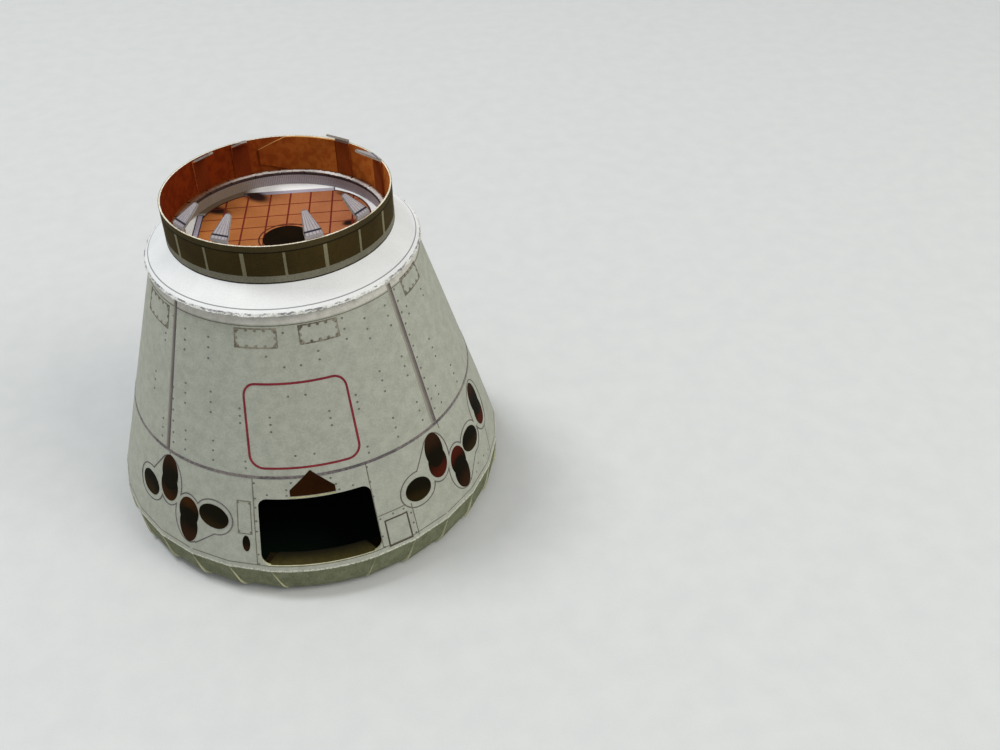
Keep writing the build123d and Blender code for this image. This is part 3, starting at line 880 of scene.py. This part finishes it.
inked = {name: [] for name in PORT_INKS}
for start, longer in ROWS:
    brown_kind = "red_ports" if longer else "brown_ports"
    for across, height, half_width, half_height, tilt, is_brown in PORTS + (EXTRA_PORTS if longer else ()):
        kind = "wide_ports" if tilt else brown_kind if is_brown else "dark_ports"
        if not tilt and is_brown == (height < PORT_MIDDLE_Z):
            tilt = 180
        port = disc(half_width, half_height, sides=36, rings=4, tilt=tilt, layer=1 if is_brown else 3)
        inked[kind].append(place_in_row(port, start, across, height))
inked["dark_ports"].append(wrap(disc(*SMALL_OVAL, sides=20, layer=2), *SMALL_OVAL_AT))
for name, ports in inked.items():
    settle(gather(ports), name, PORT_INKS[name], "body_card")

# %% Line round the ports
OUTLINE = 0.15
CORNER_SIGNS = ((-1, 1), (1, 1), (1, -1), (-1, -1))


def oval_block(depth, place, half):
    """A flat block with an oval outline, to be joined with others or taken from them."""
    bpy.ops.mesh.primitive_cylinder_add(vertices=48, radius=1, depth=depth)
    piece = bpy.context.object
    edit(piece)
    resize(*half)
    bpy.ops.transform.translate(value=(*place, 0))
    leave_edit()
    return piece


def four_cornered_block(depth, points):
    """A flat block with four given corners."""
    bpy.ops.mesh.primitive_cube_add(size=1)
    piece = bpy.context.object
    corners = dict(zip(CORNER_SIGNS, points))
    for vertex in piece.data.vertices:
        x, y = corners[1 if vertex.co.x > 0 else -1, 1 if vertex.co.y > 0 else -1]
        vertex.co = Vector((x, y - PORT_MIDDLE_Z, vertex.co.z * depth))
    edit(piece)
    bpy.ops.mesh.select_all(action="SELECT")
    bpy.ops.mesh.normals_make_consistent(inside=False)
    leave_edit()
    return piece


def outline_of_row(surrounds):
    """The line that follows a row of ports, flat, about the row's start."""
    # Every block has its own depth, so that no two tops coincide
    blocks = [
        oval_block(2 + 0.1 * n, (x, y - PORT_MIDDLE_Z), half) for n, (x, y, *half) in enumerate(surrounds)
    ]
    blocks += [four_cornered_block(1 + 0.1 * n, points) for n, points in enumerate(FILLETS)]
    whole = blocks[0]
    for block in blocks[1:]:
        combine(whole, block, "UNION")
    edit(whole)
    bpy.ops.mesh.select_all(action="SELECT")
    bpy.ops.mesh.bisect(plane_co=(0, 0, 0), plane_no=UP, use_fill=True, clear_inner=True, clear_outer=True)
    bpy.ops.mesh.select_mode(type="FACE")
    bpy.ops.mesh.select_all(action="SELECT")
    bpy.ops.mesh.inset(thickness=OUTLINE)
    bpy.ops.mesh.delete(type="FACE")
    cut_long_edges(whole, 0.8, 5)
    return thicken(whole)


outlines = []
for longer in (False, True):
    drawn = outline_of_row(SURROUNDS + (EXTRA_SURROUNDS if longer else ()))
    outlines += [wrap(twin(drawn), start, PORT_MIDDLE_Z) for start, is_long in ROWS if is_long == longer]
    bpy.data.objects.remove(drawn)
outline_ink = ink("outline_ink", (82, 78, 78), (116, 110, 106))
settle(gather(outlines), "port_outlines", outline_ink, "body_card")

# %% [markdown]
# ## Shaded panel joints
# Two broad soft lines run up the body. Each is pale at its left and dark at its right, so the ink follows
# the mark's own UV map, which runs from 0 at its left edge to 1 at its right.

# %% Panel joints
# Azimuth and height of the middle, and width of each joint
JOINTS = ((-140.6, 26.5, 0.62), (-44.9, 26.5, 0.75))
JOINT_HEIGHT = 18.9
TICK, TICK_SHIFT, TICK_Z = (0.14, 1.0), 1.2, 16.3
look = Finish("joint_ink", roughness=0.78)
across = look.uv()[0]
soft = look.mottle((98, 91, 88), (120, 112, 108))
shade = fade(look, across, 0.0, 0.6, srgb(152, 148, 134), soft)
shade = fade(look, across, 0.72, 0.85, shade, look.mottle((80, 71, 74), (102, 92, 93)))
joints = []
for azimuth, height, width in JOINTS:
    for turned in (0, 180):
        joints.append(wrap(bar(width, JOINT_HEIGHT, 3, 12, 1), azimuth + turned, height))
        joints.append(wrap(bar(*TICK), azimuth + turned + TICK_SHIFT, TICK_Z))
settle(gather(joints), "panel_joints", look.colour(shade), "body_card")

# %% [markdown]
# ## Print on the hatch
# A rounded orange square of tiles lies in the well, with a dark round hole printed in it and lavender
# strips along two of its sides. It was glued a little off the middle. The square is cut with the well's
# round wall, as the real print is. The soft dark spots at its corners belong to its own finish, which
# measures how far a point is from them.

# %% Helpers for the hatch
FLOOR_Z = 37.5
WELL_R = 12.6
HATCH_AT = (-0.08, -0.37)
HATCH_HALF = 10.98
HATCH_CORNER = 8.1
UPRIGHT_TURN = radians(-5.5)
LEVEL_TURN = radians(-2.6)


def lay(piece, x, y, turn=0.0):
    """Puts a flat mark on the well's floor."""
    piece.data.transform(Matrix.Translation((x, y, 0)) @ Matrix.Rotation(turn, 4, "Z"))
    return piece


def trim(piece):
    """Cuts a mark with the well's bore."""
    bpy.ops.mesh.primitive_cylinder_add(vertices=128, radius=WELL_R - 0.02, depth=2.0)
    return combine(piece, bpy.context.object, "INTERSECT")


def lower(piece):
    """Brings a mark on the floor of the well from millimetres to its place."""
    piece.data.transform(Matrix.Translation((0, 0, FLOOR_Z * MM)) @ Matrix.Scale(MM, 4))
    return piece


def skew(piece):
    """Leans a flat piece as the print on the disc leans."""
    for vertex in piece.data.vertices:
        x, y, _ = vertex.co
        vertex.co.x = x - y * tan(UPRIGHT_TURN)
        vertex.co.y = y + x * tan(LEVEL_TURN)
    return piece


def hatch_outline(half, depth):
    """The block that the hatch's print fills: a rounded square, a little skewed, as it was printed."""
    bpy.ops.mesh.primitive_cube_add(size=2)
    piece = bpy.context.object
    edit(piece)
    resize(half, half, depth / 2)
    ends = piece.data.vertices
    choose(piece, "EDGE", lambda e: abs(ends[e.vertices[0]].co.z - ends[e.vertices[1]].co.z) > depth / 2)
    bpy.ops.mesh.bevel(offset=HATCH_CORNER, segments=12)
    leave_edit()
    return lay(skew(piece), *HATCH_AT)


# %% Tiles of the hatch
# Middle, half length, half width and lean of each soft dark spot, and how dark its middle is
SPOTS = (
    (-3.4, 9.95, 2.6, 1.25, -50, 1.0), (-8.6, 7.3, 2.5, 1.05, -35, 1.0), (8.1, 8.3, 1.4, 0.6, -38, 0.6),
    (8.2, 0.8, 1.05, 0.8, 32, 1.0),
)


def spotted(look, colour):
    """Lays the soft dark spots over a colour, by how far a point is from the middle of each."""
    for x, y, half_length, half_width, lean, strength in SPOTS:
        from_middle = vector(look, "SUBTRACT", {0: look.place, 1: Vector((x, y, FLOOR_Z)) * MM})
        turned = {"Vector": from_middle, "Angle": radians(-lean)}
        turned = node(look, "ShaderNodeVectorRotate", turned).outputs[0]
        stretch = (1 / (half_length * MM), 1 / (half_width * MM), 0)
        distance = vector(look, "LENGTH", {0: vector(look, "MULTIPLY", {0: turned, 1: stretch})}, "Value")
        colour = blend(look, times(look, ramp(look, distance, 1.25, 0.45), strength), colour, srgb(34, 14, 6))
    return colour


look = Finish("orange_ink", gloss=0.1)
left_orange = look.mottle((146, 86, 40), (166, 102, 52))
right_orange = look.mottle((152, 92, 60), (172, 110, 76))
orange = spotted(look, fade(look, look.x, -11, 11, left_orange, right_orange))
square = trim(hatch_outline(HATCH_HALF, INK))
settle(lower(square), "hatch_square", look.colour(orange), "hatch_card")

# %% Tile lines, printed a little unevenly
UPRIGHTS = (-7.94, -5.24, -2.32, 0.24, 2.89, 5.76, 8.51)
LEVELS = (7.05, 4.25, 1.65, -1.2, -3.9, -6.6, -9.3)
LINE_LENGTH, UPRIGHT_LINE, LEVEL_LINE = 26, 0.21, 0.17
lines = [lay(bar(UPRIGHT_LINE, LINE_LENGTH, layer=2), x, 0, UPRIGHT_TURN) for x in UPRIGHTS]
lines += [lay(bar(LINE_LENGTH, LEVEL_LINE, layer=1), 0, y, LEVEL_TURN) for y in LEVELS]
cutter = trim(hatch_outline(HATCH_HALF, 1.0))
for line in lines:
    combine(line, cutter, "INTERSECT", keep_tool=True)
bpy.data.objects.remove(cutter)
tile_ink = ink("tile_ink", (88, 22, 12), (114, 36, 20))
settle(lower(gather(lines)), "tile_lines", tile_ink, "hatch_card")

# %% Border of the hatch
BORDER_LINE = 0.2
border = frame_mark(2 * HATCH_HALF, 2 * HATCH_HALF, BORDER_LINE, HATCH_CORNER, segments=12, layer=2)
border_ink = ink("border_ink", (50, 18, 14), (80, 30, 22))
settle(lower(trim(lay(skew(border), *HATCH_AT))), "hatch_border", border_ink, "hatch_card")

# %% Strips beside the hatch
# Middle, length, width and lean of each strip, and its long sides that have a line along them
STRIPS = ((1.05, 10.25, 11.7, 0.8, -3.2, ()), (-10.6, 3.4, 5.4, 0.7, 84.6, (-1, 1)))
STRIP_LINE = 0.13
strips, strip_lines = [], []
for x, y, length, width, lean, lined in STRIPS:
    turn = radians(lean)
    strips.append(lay(bar(length, width, layer=4), x, y, turn))
    edges = [lay(bar(STRIP_LINE, width + STRIP_LINE, layer=6), side * length / 2, 0) for side in (-1, 1)]
    edges += [lay(bar(length, STRIP_LINE, layer=5), 0, side * width / 2) for side in lined]
    strip_lines += [lay(edge, x, y, turn) for edge in edges]
look = Finish("lavender_ink", roughness=0.72, gloss=0.15)
lavender_ink = look.colour(spotted(look, look.mottle((150, 142, 154), (172, 166, 178))))
bluish_ink = ink("bluish_ink", (44, 38, 52), (68, 60, 76))
settle(lower(trim(gather(strips))), "hatch_strips", lavender_ink, "hatch_card")
settle(lower(gather(strip_lines)), "hatch_strip_lines", bluish_ink, "hatch_card")

# %% Dark hole with a thin line round it
HOLE_AT = (0.35, -1.5)
HOLE_R = 2.95
HOLE_LINE_IN, HOLE_LINE_OUT = 3.3, 3.5
hole_line_ink = ink("hole_line_ink", (66, 28, 12), (96, 46, 22))
hole = lay(disc(HOLE_R, HOLE_R, sides=64, layer=4), *HOLE_AT)
settle(lower(hole), "hatch_hole", dark_ink, "hatch_card")
ring = disc(HOLE_LINE_OUT, HOLE_LINE_OUT, sides=64, layer=3)
combine(ring, oval_block(1.0, (0, 0), (HOLE_LINE_IN, HOLE_LINE_IN)), "DIFFERENCE")
settle(lower(lay(ring, *HOLE_AT)), "hatch_hole_line", hole_line_ink, "hatch_card")

# %% [markdown]
# ## Print on the collar
# A pale band runs round the collar's foot, with upright pale bars above it, by turns narrow and wide.

# %% Collar bars and band
COLLAR_R = 13.9
BAND_GAP = 0.03
NARROW_BAR, WIDE_BAR, BAR_LENGTH = 0.3, 0.46, 3.0
BAR_FROM, BAR_STEP, BAR_Z = -88.2, 19.5, 41.5
BAND_WIDTH, BAND_Z = 0.85, 39.6
AROUND = 2 * pi * COLLAR_R
bar_ink = ink("collar_bar_ink", (104, 98, 76), (126, 120, 94))
band_ink = ink("collar_band_ink", (96, 94, 78), (124, 120, 104))
# The dark line at the collar's foot is painted shade
foot_shade_ink = ink("collar_foot_shade_ink", (22, 18, 14), (44, 38, 30))


def bend(piece, azimuth, height):
    """Lays a flat piece on the collar's outside."""
    for vertex in piece.data.vertices:
        across, up, out = vertex.co
        turn = radians(azimuth) + across / COLLAR_R
        radius = COLLAR_R + out
        vertex.co = Vector((radius * cos(turn), radius * sin(turn), height + up)) * MM
    return piece


bars = []
for n in range(-9, 9):
    width = WIDE_BAR if n % 2 else NARROW_BAR
    bars.append(bend(bar(width, BAR_LENGTH, layer=1), BAR_FROM + BAR_STEP * n, BAR_Z))
settle(gather(bars), "collar_bars", bar_ink, "collar_card")
band = bar(AROUND - BAND_GAP, BAND_WIDTH, 180, 1, 1)
settle(bend(band, -90, BAND_Z), "collar_band", band_ink, "collar_card")

# %% Wavering line of painted shade at the collar's foot
FOOT_STEPS, FOOT_WIDTH, FOOT_Z = 180, 0.14, 39.11
# A dark wavering line where the collar stands on the ring: painted shade
foot_shade_line = bar(AROUND, FOOT_WIDTH, FOOT_STEPS, 1, 2)
chance = Random(11)
rise = [0.0]
for _ in range(200):
    rise.append(rise[-1] * 0.8 + chance.uniform(-0.03, 0.035))
for vertex in foot_shade_line.data.vertices:
    step = round((vertex.co.x / AROUND + 0.5) * FOOT_STEPS)
    vertex.co.y += max(-0.04, rise[step])
settle(bend(foot_shade_line, -90, FOOT_Z), "collar_foot_shade_line", foot_shade_ink, "collar_card")

# %% [markdown]
# ## Torn edge of the collar's flaps
# The flaps at the collar's foot were torn rather than cut, so white fibres stand out over the well's edge.
# The edge is a thin ring, drawn out by uneven steps.

# %% Torn edge
TORN_STEPS = 300
TORN_OUT_R, TORN_IN_R, TORN_Z = 13.0, 12.6, 39.27
bpy.ops.mesh.primitive_circle_add(vertices=TORN_STEPS, radius=TORN_OUT_R * MM)
torn_edge = bpy.context.object
edit(torn_edge, "EDGE")
bpy.ops.transform.translate(value=(0, 0, TORN_Z * MM))
bpy.ops.mesh.extrude_edges_move(TRANSFORM_OT_translate={"value": (0, 0, 0.02 * MM)})
resize(TORN_IN_R / TORN_OUT_R, TORN_IN_R / TORN_OUT_R)
leave_edit()
chance = Random(5)
torn_in, torn_out, torn_up = ([chance.uniform(-1, 1) for _ in range(TORN_STEPS)] for _ in range(3))
for vertex in torn_edge.data.vertices:
    radius = hypot(vertex.co.x, vertex.co.y) / MM
    step = round((atan2(vertex.co.y, vertex.co.x) / (2 * pi) % 1) * TORN_STEPS) % TORN_STEPS
    if radius < (TORN_IN_R + TORN_OUT_R) / 2:
        shift = torn_in[step] * 0.07 + torn_in[step // 7] * 0.05
    else:
        shift = torn_out[step] * 0.1 + torn_out[step // 9] * 0.16
    vertex.co.x *= (radius + shift) / radius
    vertex.co.y *= (radius + shift) / radius
    vertex.co.z += (0.03 + 0.03 * torn_up[step // 3]) * MM
apply(torn_edge, "SOLIDIFY", thickness=0.05 * MM, offset=0)
look = Finish("torn_white", roughness=0.85, relief=0.5)
white = look.mottle((200, 197, 194), (250, 249, 248))
brown = look.mottle((96, 60, 36), (150, 120, 100))
torn_colour = fade(look, look.x, -3, -9, white, brown)
settle(torn_edge, "torn_edge", look.colour(torn_colour), "collar_card")

# %% [markdown]
# ## Print on the guide tabs
# The outer side of each tab is grey with faint lines along it, a thin dark band across it and darker long
# edges. A film of that shape is made once, and its UV map runs across and along it, so the lines meet
# towards the tip.

# %% Finish of the tabs' print
# Azimuth and height of each tab's fold
TAB_PLACES = (
    (-144.3, 44.4), (-118.3, 44.4), (-72.9, 44.4), (-44.1, 44.4),
    (20.9, 44.15), (50.4, 44.4), (110.1, 43.65), (135.4, 43.75),
)
TAB_LENGTH = 3.3
TAB_STRAIGHT = 0.45
TAB_HALF_WIDTH = 1.05
TAB_LEAN = radians(59.0)
TAB_FOLD_R = 13.605
BAND_UP = 0.46
PRINTED_LINES = 5

look = Finish("tab_print", roughness=0.7)
across, along = look.uv()
lines = calc(look, "SINE", times(look, across, 2 * pi * PRINTED_LINES))
grey = look.mottle((140, 132, 136), (170, 162, 164))
broken = times(look, ramp(look, lines, 0.3, 0.9), ramp(look, look.fibre, 0.34, 0.56), 0.7)
grey = blend(look, broken, grey, srgb(78, 74, 84))
at_side = ramp(look, off(look, across, 0.5), 0.42, 0.48)
at_border = calc(look, "MAXIMUM", at_side, ramp(look, along, 0.94, 0.98))
grey = blend(look, times(look, at_border, 0.7), grey, srgb(66, 62, 66))

# The tabs at the back get painted shade: their print turns thin and brown
painted_shade_at_back = times(look, ramp(look, look.y, 5.5, 7.0), 0.75)
grey = blend(look, painted_shade_at_back, grey, look.mottle((88, 74, 64), (106, 92, 82)))
on_band = ramp(look, off(look, along, BAND_UP / TAB_LENGTH), 0.042, 0.03)
tab_ink = look.colour(blend(look, on_band, grey, srgb(30, 28, 40)))

# %% Print of one tab, laid on all eight
bpy.ops.mesh.primitive_grid_add(x_subdivisions=2, y_subdivisions=22, size=1)
tab_print = bpy.context.object
for vertex in tab_print.data.vertices:
    up = (vertex.co.y + 0.5) * TAB_LENGTH
    half_width = TAB_HALF_WIDTH - 0.75 * max(0.0, up - TAB_STRAIGHT) / (TAB_LENGTH - TAB_STRAIGHT)
    half_width = min(half_width, 0.12 + (TAB_LENGTH - up) * 1.1)
    vertex.co = Vector((vertex.co.x * 2 * half_width, up, 0))
thicken(tab_print)
prints = []
for azimuth, fold_z in TAB_PLACES:
    copy = twin(tab_print)
    for vertex in copy.data.vertices:
        across, up, out = vertex.co
        radius = TAB_FOLD_R - up * sin(TAB_LEAN) + out * cos(TAB_LEAN)
        height = fold_z + up * cos(TAB_LEAN) + out * sin(TAB_LEAN)
        a = radians(azimuth)
        x, y = radius * cos(a) - across * sin(a), radius * sin(a) + across * cos(a)
        vertex.co = Vector((x, y, height)) * MM
    prints.append(copy)
bpy.data.objects.remove(tab_print)
settle(gather(prints), "tab_prints", tab_ink, "tab_card")

# %% [markdown]
# ## Finish
# Nothing is left selected at the end.

# %% Clear the selection
bpy.ops.object.select_all(action="DESELECT")
